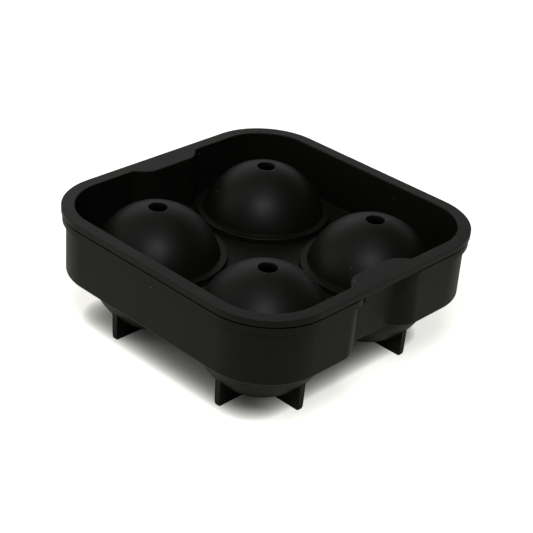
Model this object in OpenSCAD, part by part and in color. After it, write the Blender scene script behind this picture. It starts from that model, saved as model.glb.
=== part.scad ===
// Two-part silicone mold for four ice balls: a base tray with cups on finned feet,
// and a lid with domes that nests in it.
// Millimetres, +Z up. The origin is on the table, under the middle of the tray.
// The finger notches face +X and -X.

/* [Ice balls] */
// Diameter of one ice ball
ball_d = 45; // [30:0.5:65]
// Wall of the cups and the domes
shell_t = 2.2; // [1.6:0.1:3.5]
// Diameter of the fill hole in each dome's crown
fill_d = 7; // [5:0.5:12]
// Gap between the underside of the cups and the table
cup_clear = 0.2; // [0.1:0.1:4]

/* [Lid] */
// Width of the collar at each dome's foot, outside the dome
collar_w = 2; // [1:0.1:4]
// Gap between neighbouring collars
collar_gap = 3.4; // [1:0.1:12]
// Gap between the collars and the lid's wall
edge_gap = 0.9; // [0.5:0.1:8]
// Corner radius inside the lid's wall
basin_r = 20.6; // [12:0.2:26]
// Thickness of the lid's deck and of the roof over each lip
deck_t = 2.3; // [1.5:0.1:4]
// Thickness of the lid's wall
lid_wall = 1.4; // [1:0.1:2.5]
// How far the flange reaches past the tray's rim band
flange_out = 0.4; // [0.2:0.1:4]
// Thickness of the flange
flange_t = 2.6; // [1.6:0.1:4]

/* [Base tray] */
// Thickness of the tray's wall
tray_wall = 1.6; // [1:0.1:2.5]
// Depth of the tray's underside below the middle of the balls
floor_drop = 2.1; // [1:0.1:4]
// Thickness of the tray's floor
floor_t = 2; // [1.4:0.1:4]
// Height of the band that thickens the tray's rim
band_h = 3; // [2:0.1:6]
// How far the band stands out of the wall
band_out = 1.4; // [0.4:0.1:1.6]
// Height of the lip round each cup, above the floor
lip_h = 3.9; // [3:0.1:6]
// How far the lip reaches up into the lid, which keeps the lid clear of the floor
lip_seat = 2.6; // [0.8:0.1:3.4]

/* [Fits] */
// Gap between the lid's wall and the tray's wall
side_gap = 0.2; // [0.1:0.05:0.6]
// Gap round each lip, in the lid's rebate
lip_gap = 0.2; // [0.1:0.05:0.6]
// Gap between the lid's flange and the tray's rim
rim_gap = 0.6; // [0.2:0.1:2]

/* [Finger notches] */
// Width of the flat back of a notch
notch_flat = 19; // [10:0.5:26]
// Depth of a notch at the rim
notch_top = 4.3; // [2:0.1:5]
// Depth of a notch at the tray's underside
notch_foot = 5.7; // [2:0.1:6]
// Radius between the back of a notch and its slanted sides
notch_round = 3; // [1.5:0.1:6]
// Radius where a notch's sides meet the wall
notch_edge = 9; // [0.5:0.1:12]
// Radius where the lid's tabs meet its inner wall
tab_edge = 2.2; // [0.5:0.1:3]
// Extra thickness of the lid's wall behind a notch
notch_pad = 0.7; // [0:0.1:1]

/* [Feet] */
// Distance from the middle of a cup's fins to the tip of a fin
fin_reach = 21; // [12:0.1:26]
// How far a fin's outer edge leans out over its height
fin_lean = 0.1; // [0:0.1:3]
// Height of a fin's outer edge
fin_h = 13.5; // [8:0.5:18]
// Thickness of a fin at the cup
fin_t_top = 2.8; // [1.6:0.1:4]
// Thickness of a fin at the table
fin_t_foot = 2.2; // [1:0.1:3]
// Radius of a fin's foot at its tip
fin_round = 1; // [0.3:0.1:3]
// How far the middle of a cup's fins lies inside the cup's axis, along X and along Y
fin_in = 0.6; // [0:0.1:2]

/* [Hidden] */
$fn = 96;

// Cutters reach this far past the faces that they open.
past = 2;
// Segments in each small arc of a notch or a foot
arc_steps = 6;
// Smallest radius that an edge keeps when its outline is drawn in
least_round = 0.3;
silicone = [0.14, 0.14, 0.14];

// Plan sizes, from the balls outwards
ball_r = ball_d / 2;
shell_r = ball_r + shell_t;
collar_r = shell_r + collar_w;
pitch = 2 * collar_r + collar_gap;
basin_half = pitch / 2 + collar_r + edge_gap;
lid_half = basin_half + lid_wall;
tray_in = lid_half + side_gap;
tray_half = tray_in + tray_wall;
flange_half = tray_half + band_out + flange_out;
corner_c = basin_half - basin_r;
nest = tray_wall + side_gap;
fin_c = pitch / 2 - fin_in;
sides = [for (x = [-1, 1], y = [-1, 1]) [x, y]];

// Levels, from the table upwards
ball_z = cup_clear + shell_r;
top_z = ball_z + shell_r;
flange_z = top_z - flange_t;
rim_z = flange_z - rim_gap;
base_z = ball_z - floor_drop;
floor_z = base_z + floor_t;
lip_z = floor_z + lip_h;
deck_low = lip_z - lip_seat;
deck_z = deck_low + deck_t;
collar_z = lip_z + deck_t;

// Points of an arc about c, from angle a to angle b.
function arc(c, r, a, b) = [
    for (i = [0 : arc_steps])
        let (turn = a + (b - a) * i / arc_steps)
        c + r * [cos(turn), sin(turn)]
];

// Depth of a notch at height z.
function notch_depth(z) =
    notch_foot + (notch_top - notch_foot) * (z - base_z) / (flange_z - base_z);

// One half of a notch's plan, from its back to past the wall.
// The wall's face is drawn in by inset, and the notch by more. Edge is the radius where they meet,
// or as much of it as the slanted side has room for.
function notch_half(depth, inset, more, edge) =
    let (
        wall_x = tray_half - inset,
        back_x = tray_half - depth - more,
        ease = tan(22.5),
        flat = notch_flat / 2 + more * ease,
        mouth = flat + wall_x - back_x,
        inner = notch_round + more,
        room = (wall_x - back_x) / cos(45) / ease - inner,
        outer = max(min(edge, room), least_round)
    )
    concat(
        arc([back_x + inner, flat - inner * ease], inner, 180, 135),
        arc([wall_x - outer, mouth + outer * ease], outer, -45, 0),
        [[wall_x + past, mouth + outer * ease]]
    );

// A notch's plan, mirrored about the X axis, in order round the outline.
function notch_plan(depth, inset, more, edge) =
    let (half = notch_half(depth, inset, more, edge), n = len(half))
    concat(half, [for (i = [n - 1 : -1 : 0]) [half[i].x, -half[i].y]]);

// Upright square block with round corners, between two levels.
module rounded_block(half, low, high) {
    r = half - corner_c;
    translate([0, 0, low]) linear_extrude(high - low) {
        square([2 * half, 2 * corner_c], center = true);
        square([2 * corner_c, 2 * half], center = true);
        for (x = [-1, 1], y = [-1, 1]) translate([x, y] * corner_c) circle(r);
    }
}

// The wedge that presses a finger notch into the +X wall. It is deeper at the tray's underside.
module notch_wedge(inset, more, edge) {
    low = base_z - 2 * past;
    high = top_z + 2 * past;
    low_plan = notch_plan(notch_depth(low), inset, more, edge);
    high_plan = notch_plan(notch_depth(high), inset, more, edge);
    n = len(low_plan);
    polyhedron(
        points = concat(
            [for (p = low_plan) [p.x, p.y, low]],
            [for (p = high_plan) [p.x, p.y, high]]
        ),
        faces = concat(
            [[for (i = [n - 1 : -1 : 0]) i]],
            [[for (i = [0 : n - 1]) n + i]],
            [for (i = [0 : n - 1]) [i, (i + 1) % n, n + (i + 1) % n, n + i]]
        )
    );
}

// Square block with round corners and the two finger notches.
// Its outline is drawn in from the tray's by inset.
module notched_block(inset, low, high) {
    difference() {
        rounded_block(tray_half - inset, low, high);
        for (turn = [0, 180]) rotate(turn) notch_wedge(inset, inset, notch_edge - inset);
    }
}

// Side outline of a cup's pair of fins: level at the table, leaning out upwards, with round tips.
module fin_side() {
    tip = arc([fin_reach - fin_round, fin_round], fin_round, -90, 0);
    polygon(concat(
        tip,
        [[fin_reach + fin_lean, fin_h], [-fin_reach - fin_lean, fin_h]],
        [for (i = [len(tip) - 1 : -1 : 0]) [-tip[i].x, tip[i].y]]
    ));
}

// End outline of a fin: thinner at the table.
module fin_end() {
    polygon([
        [-fin_t_foot / 2, 0], [fin_t_foot / 2, 0],
        [fin_t_top / 2, fin_h], [-fin_t_top / 2, fin_h]
    ]);
}

// Two opposite fins of a cup, along X.
module fin_pair() {
    span = 2 * (fin_reach + fin_lean + past);
    intersection() {
        rotate([90, 0, 0]) translate([0, 0, -fin_t_top]) linear_extrude(2 * fin_t_top) fin_side();
        rotate([90, 0, 90]) translate([0, 0, -span / 2]) linear_extrude(span) fin_end();
    }
}

// The four fins of a cup.
module feet() {
    fin_pair();
    rotate(90) fin_pair();
}

// Outside of one cup: round up to the middle of the floor's thickness, and with a lip above the floor.
module cup() {
    height = (base_z + floor_z) / 2;
    intersection() {
        translate([0, 0, ball_z]) sphere(shell_r);
        cylinder(r = shell_r, h = height);
    }
    translate([0, 0, floor_z]) cylinder(r = shell_r, h = lip_h);
}

// The lower half of the mold: wall, rim band, floor, cups, lips and feet.
module base_tray() {
    color(silicone) difference() {
        union() {
            difference() {
                union() {
                    notched_block(0, base_z, rim_z);
                    notched_block(-band_out, rim_z - band_h, rim_z);
                }
                notched_block(tray_wall, floor_z, rim_z + past);
            }
            for (s = sides) {
                translate(s * pitch / 2) cup();
                translate(s * fin_c) feet();
            }
        }
        for (s = sides) translate(s * pitch / 2) translate([0, 0, ball_z]) sphere(ball_r);
    }
}

// The space inside the lid's wall, above the deck, with the tabs left standing.
module lid_basin() {
    inset = nest + lid_wall;
    difference() {
        rounded_block(tray_half - inset, deck_z, top_z + past);
        for (turn = [0, 180]) rotate(turn) notch_wedge(inset, inset + notch_pad, tab_edge);
    }
}

// The upper half of the mold: flange, wall, deck, collars and domes.
module lid() {
    color(silicone) difference() {
        union() {
            difference() {
                union() {
                    rounded_block(flange_half, flange_z, top_z);
                    notched_block(nest, deck_low, flange_z);
                }
                lid_basin();
            }
            for (s = sides) translate(s * pitch / 2) {
                translate([0, 0, deck_low]) cylinder(r = collar_r, h = collar_z - deck_low);
                intersection() {
                    translate([0, 0, ball_z]) sphere(shell_r);
                    translate([0, 0, deck_z]) cylinder(r = shell_r, h = shell_r);
                }
            }
        }
        for (s = sides) translate(s * pitch / 2) {
            translate([0, 0, ball_z]) sphere(ball_r);
            translate([0, 0, deck_low - past]) cylinder(r = shell_r + lip_gap, h = lip_z - deck_low + past);
            translate([0, 0, ball_z]) cylinder(d = fill_d, h = shell_r + past);
        }
    }
}

base_tray();
lid();
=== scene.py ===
"""Looks of a two-part silicone mold for ice balls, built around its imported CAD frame.

The mold's sizes are in millimetres, as in the part's source. The finished pieces are in metres.
"""

import logging
import math
from dataclasses import dataclass
from enum import Enum
from typing import Any, Iterable, Sequence

import bmesh
import bpy
from bmesh.types import BMEdge, BMesh, BMFace, BMVert
from mathutils import Matrix, Vector

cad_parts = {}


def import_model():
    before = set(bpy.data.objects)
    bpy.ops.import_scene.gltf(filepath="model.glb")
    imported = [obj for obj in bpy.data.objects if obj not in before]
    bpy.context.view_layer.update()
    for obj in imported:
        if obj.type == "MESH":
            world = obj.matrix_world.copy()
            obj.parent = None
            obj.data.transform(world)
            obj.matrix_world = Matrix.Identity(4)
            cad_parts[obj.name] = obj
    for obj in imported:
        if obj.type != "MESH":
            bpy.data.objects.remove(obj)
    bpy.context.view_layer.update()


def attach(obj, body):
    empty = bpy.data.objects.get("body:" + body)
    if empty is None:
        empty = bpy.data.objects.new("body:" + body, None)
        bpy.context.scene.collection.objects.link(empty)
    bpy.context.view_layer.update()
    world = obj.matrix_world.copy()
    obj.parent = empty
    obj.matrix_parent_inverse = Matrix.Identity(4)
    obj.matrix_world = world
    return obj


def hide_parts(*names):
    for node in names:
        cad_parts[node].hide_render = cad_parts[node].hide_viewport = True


LOG = logging.getLogger("ice_ball_mold")
MM = 0.001
# The arc that rounds a bend of 45 degrees starts this many radii from the corner.
EASE = math.tan(math.radians(22.5))
# Points closer than this, in millimetres, are at one place or on one level.
NEAR = 1e-3
# Faces that meet at a wider angle than this keep a sharp edge between them.
SHARP = math.radians(40.0)
# The point next to a corner that gets rounded lies this many times the rounding's reach away.
ROOM = 2.0


class Half(Enum):
    """The two mouldings, by the name that their CAD node and body share."""

    BASE_TRAY = "base_tray"
    LID = "lid"


class Axis(Enum):
    """A level axis, by its row in a matrix."""

    X = 0
    Y = 1


class Rounding(Enum):
    """What is rounded, by the name that the bevel has for it."""

    CORNERS = "VERTICES"
    EDGES = "EDGES"


@dataclass(frozen=True)
class MoldSizes:
    """Sizes that both halves share, in millimetres."""

    ball_d: float = 45.0
    shell_t: float = 2.2
    fill_d: float = 7.0
    cup_clear: float = 0.2
    collar_w: float = 2.0
    collar_gap: float = 3.4
    edge_gap: float = 0.9
    basin_r: float = 20.6
    deck_t: float = 2.3
    lid_wall: float = 1.4
    flange_out: float = 0.4
    flange_t: float = 2.6
    tray_wall: float = 1.6
    floor_drop: float = 2.1
    floor_t: float = 2.0
    band_h: float = 3.0
    band_out: float = 1.4
    lip_h: float = 3.9
    lip_seat: float = 2.6
    side_gap: float = 0.2
    lip_gap: float = 0.2
    rim_gap: float = 0.6
    notch_flat: float = 19.0
    notch_top: float = 4.3
    notch_foot: float = 5.7
    notch_round: float = 3.0
    notch_edge: float = 9.0
    tab_edge: float = 2.2
    notch_pad: float = 0.7
    least_round: float = 0.3

    @property
    def ball_r(self) -> float:
        """Radius of an ice ball."""
        return self.ball_d / 2

    @property
    def shell_r(self) -> float:
        """Outer radius of a cup or a dome."""
        return self.ball_r + self.shell_t

    @property
    def collar_r(self) -> float:
        """Outer radius of a dome's collar."""
        return self.shell_r + self.collar_w

    @property
    def axis(self) -> float:
        """Distance of each ball's axis from the planes X = 0 and Y = 0."""
        return self.collar_r + self.collar_gap / 2

    @property
    def basin_half(self) -> float:
        """Half the width inside the lid's wall."""
        return self.axis + self.collar_r + self.edge_gap

    @property
    def tray_half(self) -> float:
        """Half the width outside the tray's wall."""
        return self.basin_half + self.lid_wall + self.side_gap + self.tray_wall

    @property
    def corner(self) -> float:
        """Place of the plan's corner arcs, which all share their middles."""
        return self.basin_half - self.basin_r

    @property
    def flange_half(self) -> float:
        """Half the width of the lid's flange."""
        return self.tray_half + self.band_out + self.flange_out

    @property
    def nest(self) -> float:
        """How far the lid's wall lies inside the tray's outer face."""
        return self.tray_wall + self.side_gap

    @property
    def ball_z(self) -> float:
        """Height of the balls' middles."""
        return self.cup_clear + self.shell_r

    @property
    def top_z(self) -> float:
        """Height of the flange's top."""
        return self.ball_z + self.shell_r

    @property
    def flange_z(self) -> float:
        """Height of the flange's underside."""
        return self.top_z - self.flange_t

    @property
    def rim_z(self) -> float:
        """Height of the tray's rim, under the flange."""
        return self.flange_z - self.rim_gap

    @property
    def base_z(self) -> float:
        """Height of the tray's underside."""
        return self.ball_z - self.floor_drop

    @property
    def floor_z(self) -> float:
        """Height of the tray's floor."""
        return self.base_z + self.floor_t

    @property
    def lip_z(self) -> float:
        """Height of the lips round the cups."""
        return self.floor_z + self.lip_h

    @property
    def deck_low(self) -> float:
        """Height of the deck's underside."""
        return self.lip_z - self.lip_seat

    @property
    def deck_z(self) -> float:
        """Height of the deck."""
        return self.deck_low + self.deck_t

    @property
    def collar_z(self) -> float:
        """Height of the collars."""
        return self.lip_z + self.deck_t

    @property
    def draft(self) -> float:
        """How much shallower a notch gets with each millimetre of height."""
        return (self.notch_foot - self.notch_top) / (self.flange_z - self.base_z)

    def plan(self, inset: float, pad: float = 0.0, mouth: float | None = None) -> "Plan":
        """The notched outline that lies inside the tray's outer face.

        Args:
            inset: How far inside that face the outline lies.
            pad: How much further the notches are drawn in.
            mouth: Radius where a notch meets the wall, if it isn't the tray's with the inset taken off.

        Returns:
            The outline at the level of the tray's underside.
        """
        more = inset + pad
        return Plan(
            half=self.tray_half - inset,
            corner=self.tray_half - inset - self.corner,
            back=self.tray_half - self.notch_foot - more,
            flat=self.notch_flat / 2 + more * EASE,
            valley=self.notch_round + more,
            mouth=self.notch_edge - more if mouth is None else mouth,
        )


@dataclass(frozen=True)
class Plan:
    """A square outline with round corners, and with a finger notch in two sides unless back is zero."""

    half: float
    corner: float
    back: float = 0.0
    flat: float = 0.0
    valley: float = 0.0
    mouth: float = 0.0
    corner_steps: int = 20
    notch_steps: int = 6

    def grown(self, by: float) -> "Plan":
        """The outline at a distance outside this one.

        Args:
            by: That distance.

        Returns:
            The new outline, whose arcs keep their middles.
        """
        if not self.back:
            return Plan(self.half + by, self.corner + by)
        return Plan(
            half=self.half + by,
            corner=self.corner + by,
            back=self.back + by,
            flat=self.flat - by * EASE,
            valley=self.valley - by,
            mouth=self.mouth + by,
        )

    def face(self, bm: BMesh, level: float) -> BMFace:
        """Lay the outline down as one flat face.

        Args:
            bm: The mesh that takes it.
            level: Its height.

        Returns:
            The face, which looks up.
        """
        corners: list[BMVert] = []
        valleys: list[BMVert] = []
        mouths: list[BMVert] = []
        points: list[BMVert] = []
        reach = self.flat + self.half - self.back
        for side in (1, -1):
            if self.back:
                near = [bm.verts.new((side * self.half, -side * reach, level))]
                deep = [
                    bm.verts.new((side * self.back, -side * self.flat, level)),
                    bm.verts.new((side * self.back, side * self.flat, level)),
                ]
                near.append(bm.verts.new((side * self.half, side * reach, level)))
                points += [near[0], *deep, near[1]]
                mouths += near
                valleys += deep
            ends = [
                bm.verts.new((side * self.half, side * self.half, level)),
                bm.verts.new((-side * self.half, side * self.half, level)),
            ]
            points += ends
            corners += ends
        bm.faces.new(points)
        round_off(bm, Rounding.CORNERS, corners, self.corner, self.corner_steps)
        if self.back:
            round_off(bm, Rounding.CORNERS, valleys, self.valley * EASE, self.notch_steps)
            round_off(bm, Rounding.CORNERS, mouths, self.mouth * EASE, self.notch_steps)
        return widest_face(bm)


@dataclass(frozen=True)
class Step:
    """One move of a wall: how far it goes in and up, and the radius of the edge that it ends in."""

    inward: float
    rise: float
    radius: float = 0.0


def round_off(
    bm: BMesh, what: Rounding, geom: Sequence[BMVert | BMEdge], offset: float, steps: int
) -> None:
    """Round some corners of a flat outline or of a profile, or a run of edges between faces.

    Args:
        bm: The mesh.
        what: Whether corners or edges are rounded.
        geom: Those corners or edges.
        offset: How far from each of them its rounding starts. Where square faces meet, that is its radius.
        steps: Segments in each rounding.
    """
    bmesh.ops.bevel(
        bm,
        geom=list(geom),
        offset=offset,
        offset_type="OFFSET",
        segments=steps,
        profile=0.5,
        affect=what.value,
        material=-1,
    )


def widest_face(bm: BMesh) -> BMFace:
    """The face with the most corners, which is the flat end of the wall being made."""
    return max(bm.faces, key=lambda face: len(face.verts))


def verts_of(parts: Iterable[BMFace | BMEdge]) -> list[BMVert]:
    """The corners of some faces or edges, each of them once."""
    return list(dict.fromkeys(v for part in parts for v in part.verts))


def lean(axis: Axis, slope: float) -> Matrix:
    """The matrix that moves points along an axis by their height times a slope."""
    matrix = Matrix.Identity(4)
    matrix[axis.value][2] = slope
    return matrix


class Moulding:
    """A half of the mold while it is made: walls, round forms and the flat faces between them."""

    turn_steps = 96
    edge_steps = 4

    def __init__(self, sizes: MoldSizes) -> None:
        """Start with an empty mesh."""
        self.sizes = sizes
        self.bm = bmesh.new()

    def faces_since(self, known: set[BMFace]) -> list[BMFace]:
        """The faces that were made since the known ones were noted."""
        return [f for f in self.bm.faces if f not in known]

    def wall(self, plan: Plan, level: float, steps: Sequence[Step]) -> None:
        """Raise a wall from an outline, and leave both of its ends open.

        Args:
            plan: The outline that it starts from, at the level of the tray's underside.
            level: Its height.
            steps: The moves from there.
        """
        bm = self.bm
        before = set(bm.verts)
        face = plan.face(bm, level)
        rings: list[tuple[list[BMEdge], float]] = []
        for step in steps:
            bmesh.ops.inset_individual(
                bm, faces=[face], thickness=step.inward, depth=step.rise, use_even_offset=True
            )
            if step.radius:
                rings.append((list(face.edges), step.radius))
        for ring, radius in rings:
            round_off(bm, Rounding.EDGES, ring, radius, self.edge_steps)
        bmesh.ops.delete(bm, geom=[widest_face(bm)], context="FACES_ONLY")
        if plan.back:
            self.lean_notches([v for v in bm.verts if v not in before], plan)

    def lean_notches(self, verts: Sequence[BMVert], plan: Plan) -> None:
        """Give the notches of a wall their draft: they get shallower towards the rim.

        Args:
            verts: The wall's vertices.
            plan: The outline that they started from.
        """
        # The back of a notch moves out along X and its mouth in along Y, so its sides keep their slant.
        split = plan.flat + (plan.half - plan.back) / 2
        edge = (plan.flat + plan.half - plan.back + plan.half - plan.corner) / 2
        lift = Matrix.Translation((0.0, 0.0, self.sizes.base_z))
        moves: list[tuple[list[BMVert], Axis, int]] = []
        for side in (1, -1):
            backs = [v for v in verts if abs(v.co.y) < split and v.co.x * side > 0]
            ends = [v for v in verts if split < v.co.y * side < edge]
            moves += [(backs, Axis.X, side), (ends, Axis.Y, -side)]
        for moved, axis, way in moves:
            self.transform(moved, lift @ lean(axis, way * self.sizes.draft) @ lift.inverted())

    def transform(self, verts: Sequence[BMVert], matrix: Matrix) -> None:
        """Move some vertices by a matrix."""
        bmesh.ops.transform(self.bm, matrix=matrix, verts=list(verts))

    def meridian(self, radius: float, low: float, high: float, steps: int) -> list[BMVert]:
        """Points up or down the side of a ball, by turning one vertex about its middle.

        Args:
            radius: The ball's radius.
            low: Angle above the horizon at the first point.
            high: Angle at the last point.
            steps: Segments between them.

        Returns:
            The points in order.
        """
        bm = self.bm
        middle = Vector((0.0, 0.0, self.sizes.ball_z))
        first = bm.verts.new(middle + radius * Vector((math.cos(low), 0.0, math.sin(low))))
        known = set(bm.verts)
        bmesh.ops.spin(
            bm, geom=[first], cent=middle, axis=(0.0, -1.0, 0.0), angle=high - low, steps=steps
        )
        new = [v for v in bm.verts if v not in known]
        return sorted([first, *new], key=lambda v: (v.co - first.co).length)

    def corner(self, radius: float, height: float) -> BMVert:
        """One corner of a round form's profile."""
        return self.bm.verts.new((radius, 0.0, height))

    def turn_profile(self, runs: Sequence[Sequence[BMVert]], knees: dict[BMVert, float]) -> None:
        """Turn a profile about a ball's axis, and set the form out on all four axes.

        Args:
            runs: The profile's points, in order. A run of more than one is already joined.
            knees: How far from a corner its rounding starts.
        """
        bm = self.bm
        for one, two in zip(runs, runs[1:]):
            bm.edges.new((one[-1], two[0]))
        for knee, offset in knees.items():
            round_off(bm, Rounding.CORNERS, [knee], offset, self.edge_steps)
        wire = [e for e in bm.edges if not e.link_faces]
        known = set(bm.faces)
        bmesh.ops.spin(
            bm,
            geom=verts_of(wire) + wire,
            cent=(0.0, 0.0, 0.0),
            axis=(0.0, 0.0, 1.0),
            angle=math.tau,
            steps=self.turn_steps,
            use_merge=True,
        )
        bmesh.ops.remove_doubles(bm, verts=verts_of(self.faces_since(known)), dist=NEAR)
        self.set_out(self.faces_since(known), self.sizes.axis)

    def set_out(self, faces: Sequence[BMFace], place: float) -> None:
        """Move a form from the origin to the first ball, and copy it to the other three.

        Args:
            faces: The form's faces.
            place: How far it goes along X and along Y.
        """
        bmesh.ops.translate(self.bm, vec=(place, place, 0.0), verts=verts_of(faces))
        for quarters in (1, 2, 3):
            self.turned_copy(faces, quarters)

    def turned_copy(self, faces: Sequence[BMFace], quarters: int) -> None:
        """Copy some faces, turned about the Z axis by a number of quarter turns."""
        copy = bmesh.ops.duplicate(self.bm, geom=list(faces))["geom"]
        bmesh.ops.rotate(
            self.bm,
            verts=[v for v in copy if isinstance(v, BMVert)],
            cent=(0.0, 0.0, 0.0),
            matrix=Matrix.Rotation(quarters * math.pi / 2, 3, "Z"),
        )

    def close(self, level: float) -> None:
        """Fill the flat face at one height, between the open ends of walls and round forms.

        Args:
            level: The height.
        """
        edges = [
            e
            for e in self.bm.edges
            if e.is_boundary and all(abs(v.co.z - level) < NEAR for v in e.verts)
        ]
        bmesh.ops.triangle_fill(self.bm, use_beauty=True, edges=edges)

    def finish(self, half: Half) -> bpy.types.Object:
        """Turn the mesh into a piece of the scene, in metres.

        Args:
            half: Which half it is.

        Returns:
            The piece, on its body and in place of its CAD node.
        """
        bm = self.bm
        bmesh.ops.recalc_face_normals(bm, faces=list(bm.faces))
        open_edges = sum(1 for e in bm.edges if not e.is_manifold)
        LOG.info("%s: %d open edges", half.value, open_edges)
        bmesh.ops.scale(bm, vec=(MM, MM, MM), verts=list(bm.verts))
        for face in bm.faces:
            face.smooth = True
        mesh = bpy.data.meshes.new(half.value + "_moulding")
        bm.to_mesh(mesh)
        bm.free()
        mesh.set_sharp_from_angle(angle=SHARP)
        piece = bpy.data.objects.new(half.value + "_moulding", mesh)
        bpy.context.scene.collection.objects.link(piece)
        even = piece.modifiers.new("even_shading", "WEIGHTED_NORMAL")
        even.keep_sharp = True
        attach(piece, half.value)
        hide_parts(half.value)
        return piece


@dataclass
class MoldHalf:
    """What the two halves have in common: the mold's sizes, and the way they are dressed."""

    sizes: MoldSizes

    def dress(self, piece: bpy.types.Object, silicone: bpy.types.Material) -> None:
        """Give a finished piece its finish.

        Args:
            piece: The piece.
            silicone: The finish that both halves share.
        """
        piece.data.materials.append(silicone)


@dataclass
class BaseTray(MoldHalf):
    """The lower half: wall with a rim band, floor, cups, lips and crossed fins for feet.

    A support is the width of a level strip beside a rounded edge.
    """

    foot_round: float = 0.8
    band_slope: float = 0.5
    band_root: float = 0.4
    band_round: float = 0.1
    rim_round: float = 0.1
    floor_round: float = 0.6
    lip_round: float = 0.4
    support: float = 2.0
    rim_support: float = 1.0
    fin_reach: float = 21.0
    fin_lean: float = 0.1
    fin_h: float = 13.5
    fin_t_top: float = 2.8
    fin_t_foot: float = 2.2
    fin_in: float = 0.6
    fin_tip: float = 1.0
    fin_edge: float = 0.3
    cup_steps: int = 40
    fin_top_steps: int = 24
    fin_edge_steps: int = 2

    def build(self) -> bpy.types.Object:
        """Model the tray.

        Returns:
            The finished piece.
        """
        made = Moulding(self.sizes)
        self.walls(made)
        self.cups(made)
        for level in (self.sizes.base_z, self.sizes.floor_z, self.sizes.rim_z):
            made.close(level)
        self.feet(made)
        return made.finish(Half.BASE_TRAY)

    def walls(self, made: Moulding) -> None:
        """Raise the outer wall with its band, and the inner wall down to the floor."""
        s = self.sizes
        outer = s.plan(0.0)
        made.wall(
            outer.grown(-self.support),
            s.base_z,
            [
                Step(-self.support, 0.0, self.foot_round),
                Step(0.0, s.rim_z - s.base_z - s.band_h, self.band_root),
                Step(-s.band_out, self.band_slope, self.band_round),
                Step(0.0, s.band_h - self.band_slope, self.rim_round),
                Step(self.rim_support, 0.0),
            ],
        )
        inner = s.plan(s.tray_wall)
        made.wall(
            inner.grown(self.rim_support),
            s.rim_z,
            [
                Step(self.rim_support, 0.0, self.rim_round),
                Step(0.0, s.floor_z - s.rim_z, self.floor_round),
            ],
        )

    def cups(self, made: Moulding) -> None:
        """Turn the cups: their lips and insides from the floor, and their outsides from the underside."""
        s = self.sizes
        at_lip = math.asin((s.lip_z - s.ball_z) / s.ball_r)
        inside = made.meridian(s.ball_r, at_lip, -math.pi / 2, self.cup_steps)
        foot = made.corner(s.shell_r + ROOM * s.least_round, s.floor_z)
        root = made.corner(s.shell_r, s.floor_z)
        lip = made.corner(s.shell_r, s.lip_z)
        made.turn_profile(
            [[foot], [root], [lip], inside],
            {root: s.least_round, lip: self.lip_round},
        )
        at_base = math.asin((s.base_z - s.ball_z) / s.shell_r)
        outside = made.meridian(s.shell_r, at_base, -math.pi / 2, self.cup_steps)
        made.turn_profile([outside], {})

    def feet(self, made: Moulding) -> None:
        """Stand each cup on two crossed plates."""
        known = set(made.bm.faces)
        self.fin_pair(made)
        made.turned_copy(made.faces_since(known), 1)
        made.set_out(made.faces_since(known), self.sizes.axis - self.fin_in)

    def fin_pair(self, made: Moulding) -> None:
        """Model two opposite fins as one plate along X, whose top ends inside the cup's wall."""
        s, bm = self.sizes, made.bm
        known = set(bm.faces)
        mid_r = s.ball_r + s.shell_t / 2
        tip = self.fin_reach + self.fin_lean
        start = -math.acos((tip - self.fin_in) / mid_r)
        end = math.acos((tip + self.fin_in) / mid_r) - math.pi
        top = made.meridian(mid_r, start, end, self.fin_top_steps)
        bmesh.ops.translate(bm, vec=(self.fin_in, 0.0, 0.0), verts=top)
        foot = [
            bm.verts.new((-self.fin_reach, 0.0, 0.0)),
            bm.verts.new((self.fin_reach, 0.0, 0.0)),
        ]
        bm.faces.new([*top, *foot])
        round_off(bm, Rounding.CORNERS, foot, self.fin_tip, made.edge_steps)
        side_face = made.faces_since(known)
        bmesh.ops.translate(bm, vec=(0.0, -self.fin_t_foot / 2, 0.0), verts=verts_of(side_face))
        far = bmesh.ops.extrude_face_region(bm, geom=side_face)["geom"]
        bmesh.ops.translate(
            bm, vec=(0.0, self.fin_t_foot, 0.0), verts=[v for v in far if isinstance(v, BMVert)]
        )
        plate = made.faces_since(known)
        # Both faces of the plate lean out, so that it is thinner at the table.
        slope = (self.fin_t_top - self.fin_t_foot) / (2 * self.fin_h)
        for side in (1, -1):
            moved = [v for v in verts_of(plate) if v.co.y * side > 0]
            made.transform(moved, lean(Axis.Y, side * slope))
        # The edges that stay outside the cup's wall are rounded.
        middle = Vector((self.fin_in, 0.0, s.ball_z))
        clear = mid_r + s.least_round
        edges = dict.fromkeys(e for f in plate for e in f.edges)
        outer = [e for e in edges if all((v.co - middle).length > clear for v in e.verts)]
        sharp = [e for e in outer if e.calc_face_angle(0.0) > SHARP]
        round_off(bm, Rounding.EDGES, sharp, self.fin_edge, self.fin_edge_steps)


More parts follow.
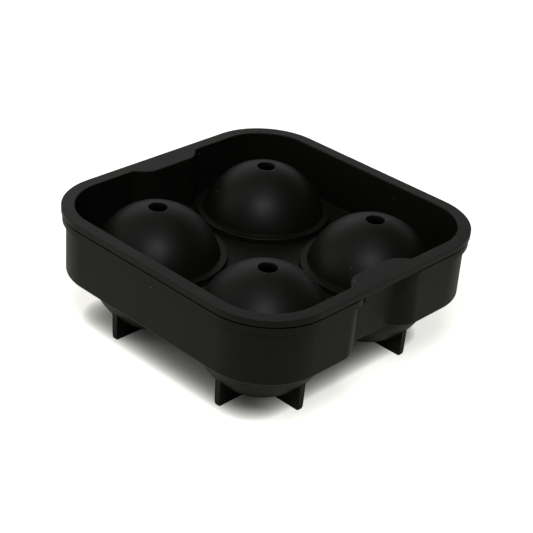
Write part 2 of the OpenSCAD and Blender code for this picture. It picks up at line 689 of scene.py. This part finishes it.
@dataclass
class Lid(MoldHalf):
    """The upper half: flange, nesting wall, deck, and domes with collars and fill holes.

    A support is the width of a level strip beside a rounded edge.
    """

    flange_round: float = 0.12
    flange_foot: float = 0.5
    rim_round: float = 0.4
    wall_round: float = 1.0
    deck_round: float = 0.35
    collar_root: float = 0.12
    collar_round: float = 0.3
    dome_foot: float = 0.16
    hole_round: float = 0.35
    support: float = 2.0
    flange_support: float = 1.2
    dome_steps: int = 36
    dome_foot_room: float = 1.3

    def build(self) -> bpy.types.Object:
        """Model the lid.

        Returns:
            The finished piece.
        """
        made = Moulding(self.sizes)
        self.walls(made)
        self.domes(made)
        s = self.sizes
        for level in (s.deck_low, s.deck_z, s.flange_z, s.top_z):
            made.close(level)
        return made.finish(Half.LID)

    def walls(self, made: Moulding) -> None:
        """Raise the outer wall, the flange's edge and the inner wall."""
        s = self.sizes
        outer = s.plan(s.nest)
        made.wall(
            outer.grown(-self.support),
            s.deck_low,
            [
                Step(-self.support, 0.0, self.wall_round),
                Step(0.0, s.flange_z - s.deck_low),
            ],
        )
        flange = Plan(s.flange_half, s.flange_half - s.corner)
        made.wall(
            flange.grown(-self.flange_support),
            s.flange_z,
            [
                Step(-self.flange_support, 0.0, self.flange_foot),
                Step(0.0, s.flange_t, self.flange_round),
                Step(self.flange_support, 0.0),
            ],
        )
        inner = s.plan(s.nest + s.lid_wall, s.notch_pad, s.tab_edge)
        made.wall(
            inner.grown(self.support),
            s.top_z,
            [
                Step(self.support, 0.0, self.rim_round),
                Step(0.0, s.deck_z - s.top_z, self.deck_round),
            ],
        )

    def domes(self, made: Moulding) -> None:
        """Turn the domes, from the deck over the collar and through the fill hole to the rebate below."""
        s = self.sizes
        hole_r = s.fill_d / 2
        foot = made.corner(s.collar_r + ROOM * self.collar_root, s.deck_z)
        root = made.corner(s.collar_r, s.deck_z)
        edge = made.corner(s.collar_r, s.collar_z)
        at_collar = math.asin((s.collar_z - s.ball_z) / s.shell_r)
        knee = made.corner(s.shell_r * math.cos(at_collar), s.collar_z)
        clear = self.dome_foot_room * self.dome_foot / s.shell_r
        out_top = math.acos(hole_r / s.shell_r)
        back_off = ROOM * self.hole_round / s.shell_r
        outside = made.meridian(s.shell_r, at_collar + clear, out_top - back_off, self.dome_steps)
        rim = made.corner(hole_r, s.ball_z + s.shell_r * math.sin(out_top))
        in_top = math.acos(hole_r / s.ball_r)
        under = made.corner(hole_r, s.ball_z + s.ball_r * math.sin(in_top))
        at_lip = math.asin((s.lip_z - s.ball_z) / s.ball_r)
        inside = made.meridian(s.ball_r, in_top - back_off, at_lip, self.dome_steps)
        rebate_r = s.shell_r + s.lip_gap
        roof = made.corner(rebate_r, s.lip_z)
        drop = made.corner(rebate_r, s.deck_low)
        end = made.corner(rebate_r + ROOM * s.least_round, s.deck_low)
        made.turn_profile(
            [[foot], [root], [edge], [knee], outside, [rim], [under], inside, [roof], [drop], [end]],
            {
                root: self.collar_root,
                edge: self.collar_round,
                knee: self.dome_foot,
                rim: self.hole_round,
                under: self.hole_round,
                roof: s.least_round,
                drop: s.least_round,
            },
        )


def linear(hex_colour: str) -> tuple[float, float, float, float]:
    """Turn an sRGB hex colour into the linear one that Blender's sockets take.

    Args:
        hex_colour: Six hex digits after a hash.

    Returns:
        Red, green, blue and alpha.
    """
    parts = [int(hex_colour[i : i + 2], 16) / 255 for i in (1, 3, 5)]
    # The numbers are those of the sRGB curve: a straight foot, and a power above it.
    red, green, blue = (c / 12.92 if c <= 0.04045 else ((c + 0.055) / 1.055) ** 2.4 for c in parts)
    return red, green, blue, 1.0


def add_node(
    tree: bpy.types.NodeTree, kind: str, settings: dict[str, Any] | None = None, **sockets: Any
) -> bpy.types.Node:
    """Add a node, with its settings, its values and its links.

    Args:
        tree: The node tree.
        kind: The node's type.
        settings: Properties of the node.
        **sockets: Inputs by name, with underscores for spaces, or by number after an underscore. Each is
            a value, or the output that feeds it.

    Returns:
        The node.
    """
    node = tree.nodes.new(kind)
    for name, value in (settings or {}).items():
        setattr(node, name, value)
    for name, value in sockets.items():
        key = int(name[1:]) if name[1:].isdigit() else name.replace("_", " ")
        socket = node.inputs[key]
        if isinstance(value, bpy.types.NodeSocket):
            tree.links.new(value, socket)
        else:
            socket.default_value = value
    return node


@dataclass(frozen=True)
class MouldedSilicone:
    """Black silicone rubber, compression moulded in a blasted steel tool.

    The eye gets a deep soft black that isn't quite even, a broad dull highlight, a pale sheen where it is
    seen edge on, and single grains of dust, which silicone always draws.
    """

    black: str = "#090906"
    worn_black: str = "#0b0b08"
    dust: str = "#8c877f"
    ior: float = 1.41
    specular: float = 0.15
    rough_low: float = 0.44
    rough_high: float = 0.5
    film_mm: float = 16.0
    film_detail: float = 3.0
    film_roughness: float = 0.55
    film_range: tuple[float, float] = (0.3, 0.7)
    grain_mm: float = 0.7
    grain_height_mm: float = 0.012
    grain_detail: float = 2.0
    grain_roughness: float = 0.6
    grain_strength: float = 0.5
    dust_spacing_mm: float = 7.5
    dust_mm: float = 0.22
    dust_core: float = 0.5

    def material(self) -> bpy.types.Material:
        """Make the finish's node material.

        Returns:
            The material.
        """
        made = bpy.data.materials.new("black_moulded_silicone_rubber")
        made.use_nodes = True
        tree = made.node_tree
        tree.nodes.clear()
        place = add_node(tree, "ShaderNodeTexCoord").outputs["Object"]
        # The thin film that handling leaves, in patches as wide as a thumb.
        film = add_node(
            tree,
            "ShaderNodeTexNoise",
            Vector=place,
            Scale=1 / (self.film_mm * MM),
            Detail=self.film_detail,
            Roughness=self.film_roughness,
        )
        tone = add_node(
            tree,
            "ShaderNodeMix",
            {"data_type": "RGBA"},
            _0=film.outputs["Fac"],
            _6=linear(self.black),
            _7=linear(self.worn_black),
        )
        rough = add_node(
            tree,
            "ShaderNodeMapRange",
            Value=film.outputs["Fac"],
            From_Min=self.film_range[0],
            From_Max=self.film_range[1],
            To_Min=self.rough_low,
            To_Max=self.rough_high,
        )
        # Dust: a grain wherever a scattered point comes near the surface.
        grains = add_node(tree, "ShaderNodeTexVoronoi", Vector=place, Scale=1 / (self.dust_spacing_mm * MM))
        dusty = add_node(
            tree,
            "ShaderNodeMapRange",
            Value=grains.outputs["Distance"],
            From_Min=self.dust_mm / self.dust_spacing_mm,
            From_Max=self.dust_core * self.dust_mm / self.dust_spacing_mm,
        )
        colour = add_node(
            tree,
            "ShaderNodeMix",
            {"data_type": "RGBA"},
            _0=dusty.outputs["Result"],
            _6=tone.outputs[2],
            _7=linear(self.dust),
        )
        # The blasted tool's texture is finer than a pixel, so it is drawn as coarse as it needs to show.
        grain = add_node(
            tree,
            "ShaderNodeTexNoise",
            Vector=place,
            Scale=1 / (self.grain_mm * MM),
            Detail=self.grain_detail,
            Roughness=self.grain_roughness,
        )
        bump = add_node(
            tree,
            "ShaderNodeBump",
            Strength=self.grain_strength,
            Distance=self.grain_height_mm * MM,
            Height=grain.outputs["Fac"],
        )
        shader = add_node(
            tree,
            "ShaderNodeBsdfPrincipled",
            Base_Color=colour.outputs[2],
            Roughness=rough.outputs["Result"],
            IOR=self.ior,
            Specular_IOR_Level=self.specular,
            Normal=bump.outputs["Normal"],
        )
        add_node(tree, "ShaderNodeOutputMaterial", Surface=shader.outputs["BSDF"])
        return made


@dataclass(frozen=True)
class SoftBox:
    """A square lamp that looks at the mold, placed by its bearing from the camera's.

    The bearing and the height above the horizon are in degrees, lengths in metres and power in watts.
    """

    name: str
    bearing: float
    height: float
    side: float
    power: float
    tint: str = "#ffffff"
    distance: float = 1.0
    aim_z: float = 0.03

    def place(self, camera_bearing: float) -> None:
        """Hang the lamp.

        Args:
            camera_bearing: The camera's bearing in degrees.
        """
        data = bpy.data.lights.new(self.name, "AREA")
        data.shape = "SQUARE"
        data.size = self.side
        data.energy = self.power
        data.color = linear(self.tint)[:3]
        lamp = bpy.data.objects.new(self.name, data)
        away = direction(camera_bearing + self.bearing, self.height)
        lamp.location = away * self.distance + Vector((0.0, 0.0, self.aim_z))
        lamp.rotation_mode = "QUATERNION"
        lamp.rotation_quaternion = away.to_track_quat("Z", "Y")
        bpy.context.scene.collection.objects.link(lamp)


def direction(bearing: float, height: float) -> Vector:
    """The direction from the mold at a bearing and an angle above the horizon, both in degrees.

    Args:
        bearing: Zero looks back along -Y, and 90 along +X.
        height: Angle above the horizon.

    Returns:
        A unit vector.
    """
    turn, lift = math.radians(bearing), math.radians(height)
    return Vector((math.sin(turn) * math.cos(lift), -math.cos(turn) * math.cos(lift), math.sin(lift)))


@dataclass
class Studio:
    """The floor, the light and the camera.

    Angles are in degrees and lengths in metres, but the lens, the sensor and the painted shadow are in
    millimetres.
    Each bright wall of the room has a bearing from the camera's and a strength.
    """

    sizes: MoldSizes
    bearing: float = 42.47
    height: float = 30.01
    roll: float = 4.56
    distance: float = 0.53683
    aim_z: float = 0.02239
    lens: float = 95.85
    sensor: float = 36.0
    shift: tuple[float, float] = (0.0082, 0.0186)
    clip: tuple[float, float] = (0.01, 50.0)
    floor_side: float = 8.0
    floor_paper: str = "#c5c4bb"
    glow: str = "#fffefa"
    glows: tuple[tuple[str, float], ...] = (
        ("Is Camera Ray", 0.72),
        ("Is Glossy Ray", 0.3),
        ("Is Transmission Ray", 0.3),
    )
    # The floor's painted shadow: its middle, how far inside the flange's outline it starts, and how far in
    # the lift halves.
    painted_shadow_place: tuple[float, float] = (-4.2, -0.6)
    painted_shadow_inset: float = 10.8
    painted_shadow_halving: float = 2.8
    room_light: float = 0.045
    walls: tuple[tuple[float, float], ...] = ((180.0, 0.64), (-90.0, 0.44))
    wall_fade: tuple[float, float] = (0.35, 0.75)
    wall_falloff: float = 2.0
    boxes: tuple[SoftBox, ...] = (
        SoftBox("softbox_over_camera", 0.0, 56.0, 0.35, 7.7, "#f7faff"),
        SoftBox("softbox_left", -90.0, 48.0, 0.5, 1.15),
        SoftBox("softbox_left_low", -90.0, 15.0, 0.5, 1.6),
        SoftBox("softbox_behind_left", -150.0, 35.0, 0.6, 0.82),
        SoftBox("softbox_behind", 180.0, 35.0, 0.6, 0.45),
        SoftBox("softbox_overhead", 0.0, 89.0, 0.6, 1.1),
    )

    def build(self) -> None:
        """Set up everything round the mold."""
        scene = bpy.context.scene
        scene.view_settings.view_transform = "Standard"
        self.floor()
        self.sky()
        for box in self.boxes:
            box.place(self.bearing)
        scene.camera = self.camera()

    def floor(self) -> None:
        """Lay the floor: pale paper, lifted to white for the eye and in reflections outside a painted
        shadow, which darkens it under the mold on top of the lamps' own shadow.
        """
        bm = bmesh.new()
        bmesh.ops.create_grid(bm, x_segments=1, y_segments=1, size=self.floor_side / 2)
        mesh = bpy.data.meshes.new("floor")
        bm.to_mesh(mesh)
        bm.free()
        floor = bpy.data.objects.new("floor", mesh)
        bpy.context.scene.collection.objects.link(floor)
        paper = bpy.data.materials.new("white_studio_paper")
        paper.use_nodes = True
        tree = paper.node_tree
        tree.nodes.clear()
        matt = add_node(tree, "ShaderNodeBsdfDiffuse", Color=linear(self.floor_paper))
        rays = add_node(tree, "ShaderNodeLightPath").outputs
        lift: Any = 0.0
        for ray, strength in self.glows:
            add = {"operation": "MULTIPLY_ADD"}
            lift = add_node(tree, "ShaderNodeMath", add, _0=rays[ray], _1=strength, _2=lift).outputs[0]
        # Painted shadow: the lift is held back near and under the mold, beside the paper's real shadow from
        # the lamps.
        out_of_painted_shadow = self.outside_painted_shadow(tree)
        lift = add_node(tree, "ShaderNodeMath", {"operation": "MULTIPLY"}, _0=lift, _1=out_of_painted_shadow).outputs[0]
        lifted = add_node(tree, "ShaderNodeEmission", Color=linear(self.glow), Strength=lift)
        both = add_node(tree, "ShaderNodeAddShader", _0=matt.outputs["BSDF"], _1=lifted.outputs["Emission"])
        add_node(tree, "ShaderNodeOutputMaterial", Surface=both.outputs["Shader"])
        mesh.materials.append(paper)

    def outside_painted_shadow(self, tree: bpy.types.NodeTree) -> bpy.types.NodeSocket:
        """Work out how far a place on the floor is out of the painted shadow round the mold.

        Args:
            tree: The paper's node tree.

        Returns:
            The output that is one outside the painted shadow and falls towards zero under the mold.
        """
        s = self.sizes
        place = add_node(tree, "ShaderNodeTexCoord").outputs["Object"]
        # The painted shadow follows the flange's outline: it goes by the way past the middle of the nearest
        # corner.
        middle = Vector((*self.painted_shadow_place, 0.0)) * MM
        corner = Vector((s.corner, s.corner, 0.0)) * MM
        less = {"operation": "SUBTRACT"}
        moved = add_node(tree, "ShaderNodeVectorMath", less, _0=place, _1=middle).outputs[0]
        across = add_node(tree, "ShaderNodeVectorMath", {"operation": "ABSOLUTE"}, _0=moved).outputs[0]
        past = add_node(tree, "ShaderNodeVectorMath", less, _0=across, _1=corner).outputs[0]
        out = add_node(tree, "ShaderNodeVectorMath", {"operation": "MAXIMUM"}, _0=past).outputs[0]
        way = add_node(tree, "ShaderNodeVectorMath", {"operation": "LENGTH"}, _0=out).outputs["Value"]
        # The painted shadow deepens: the lift halves with each step further under the mold.
        edge = s.flange_half - s.corner - self.painted_shadow_inset
        steps = add_node(
            tree,
            "ShaderNodeMath",
            {"operation": "MULTIPLY_ADD"},
            _0=way,
            _1=1 / (self.painted_shadow_halving * MM),
            _2=-edge / self.painted_shadow_halving,
        )
        power = add_node(tree, "ShaderNodeMath", {"operation": "POWER"}, _0=2.0, _1=steps.outputs[0])
        out_of_painted_shadow = add_node(tree, "ShaderNodeMath", {"operation": "MINIMUM"}, _0=power.outputs[0], _1=1.0)
        return out_of_painted_shadow.outputs[0]

    def sky(self) -> None:
        """Light the room: dim all round, with bright walls that fade overhead and sideways."""
        world = bpy.data.worlds.new("studio")
        bpy.context.scene.world = world
        world.use_nodes = True
        tree = world.node_tree
        tree.nodes.clear()
        towards = add_node(tree, "ShaderNodeTexCoord").outputs["Generated"]
        height = add_node(tree, "ShaderNodeSeparateXYZ", Vector=towards).outputs["Z"]
        level: Any = self.room_light
        for bearing, strength in self.walls:
            low = add_node(
                tree,
                "ShaderNodeMapRange",
                {"interpolation_type": "SMOOTHSTEP"},
                Value=height,
                From_Min=self.wall_fade[0],
                From_Max=self.wall_fade[1],
                To_Min=strength,
                To_Max=0.0,
            )
            facing = add_node(
                tree,
                "ShaderNodeVectorMath",
                {"operation": "DOT_PRODUCT"},
                _0=towards,
                _1=direction(self.bearing + bearing, 0.0),
            )
            dot = facing.outputs["Value"]
            ahead = add_node(tree, "ShaderNodeMath", {"operation": "MAXIMUM"}, _0=dot, _1=0.0)
            spread = add_node(
                tree, "ShaderNodeMath", {"operation": "POWER"}, _0=ahead.outputs[0], _1=self.wall_falloff
            )
            level = add_node(
                tree,
                "ShaderNodeMath",
                {"operation": "MULTIPLY_ADD"},
                _0=spread.outputs[0],
                _1=low.outputs["Result"],
                _2=level,
            ).outputs[0]
        back = add_node(tree, "ShaderNodeBackground", Color=(1.0, 1.0, 1.0, 1.0), Strength=level)
        add_node(tree, "ShaderNodeOutputWorld", Surface=back.outputs["Background"])

    def camera(self) -> bpy.types.Object:
        """Place the camera where the photograph was taken from.

        Returns:
            The camera.
        """
        data = bpy.data.cameras.new("camera")
        data.lens = self.lens
        data.sensor_width = self.sensor
        data.shift_x, data.shift_y = self.shift
        data.clip_start, data.clip_end = self.clip
        camera = bpy.data.objects.new("camera", data)
        bpy.context.scene.collection.objects.link(camera)
        back = direction(self.bearing, self.height)
        level = (-back).cross(Vector((0.0, 0.0, 1.0))).normalized()
        above = level.cross(-back)
        tilt = math.radians(self.roll)
        right = level * math.cos(tilt) + above * math.sin(tilt)
        up = above * math.cos(tilt) - level * math.sin(tilt)
        turn = Matrix((right, up, back)).transposed()
        place = back * self.distance + Vector((0.0, 0.0, self.aim_z))
        camera.matrix_world = Matrix.Translation(place) @ turn.to_4x4()
        return camera


def main() -> None:
    """Build the mold and its studio."""
    logging.basicConfig(level=logging.INFO, format="%(name)s: %(message)s")
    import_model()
    sizes = MoldSizes()
    silicone = MouldedSilicone().material()
    for half in (BaseTray(sizes), Lid(sizes)):
        piece = half.build()
        half.dress(piece, silicone)
        LOG.info("%s: %d faces", piece.name, len(piece.data.polygons))
    Studio(sizes).build()
    bpy.context.view_layer.update()


if __name__ == "__main__":
    main()
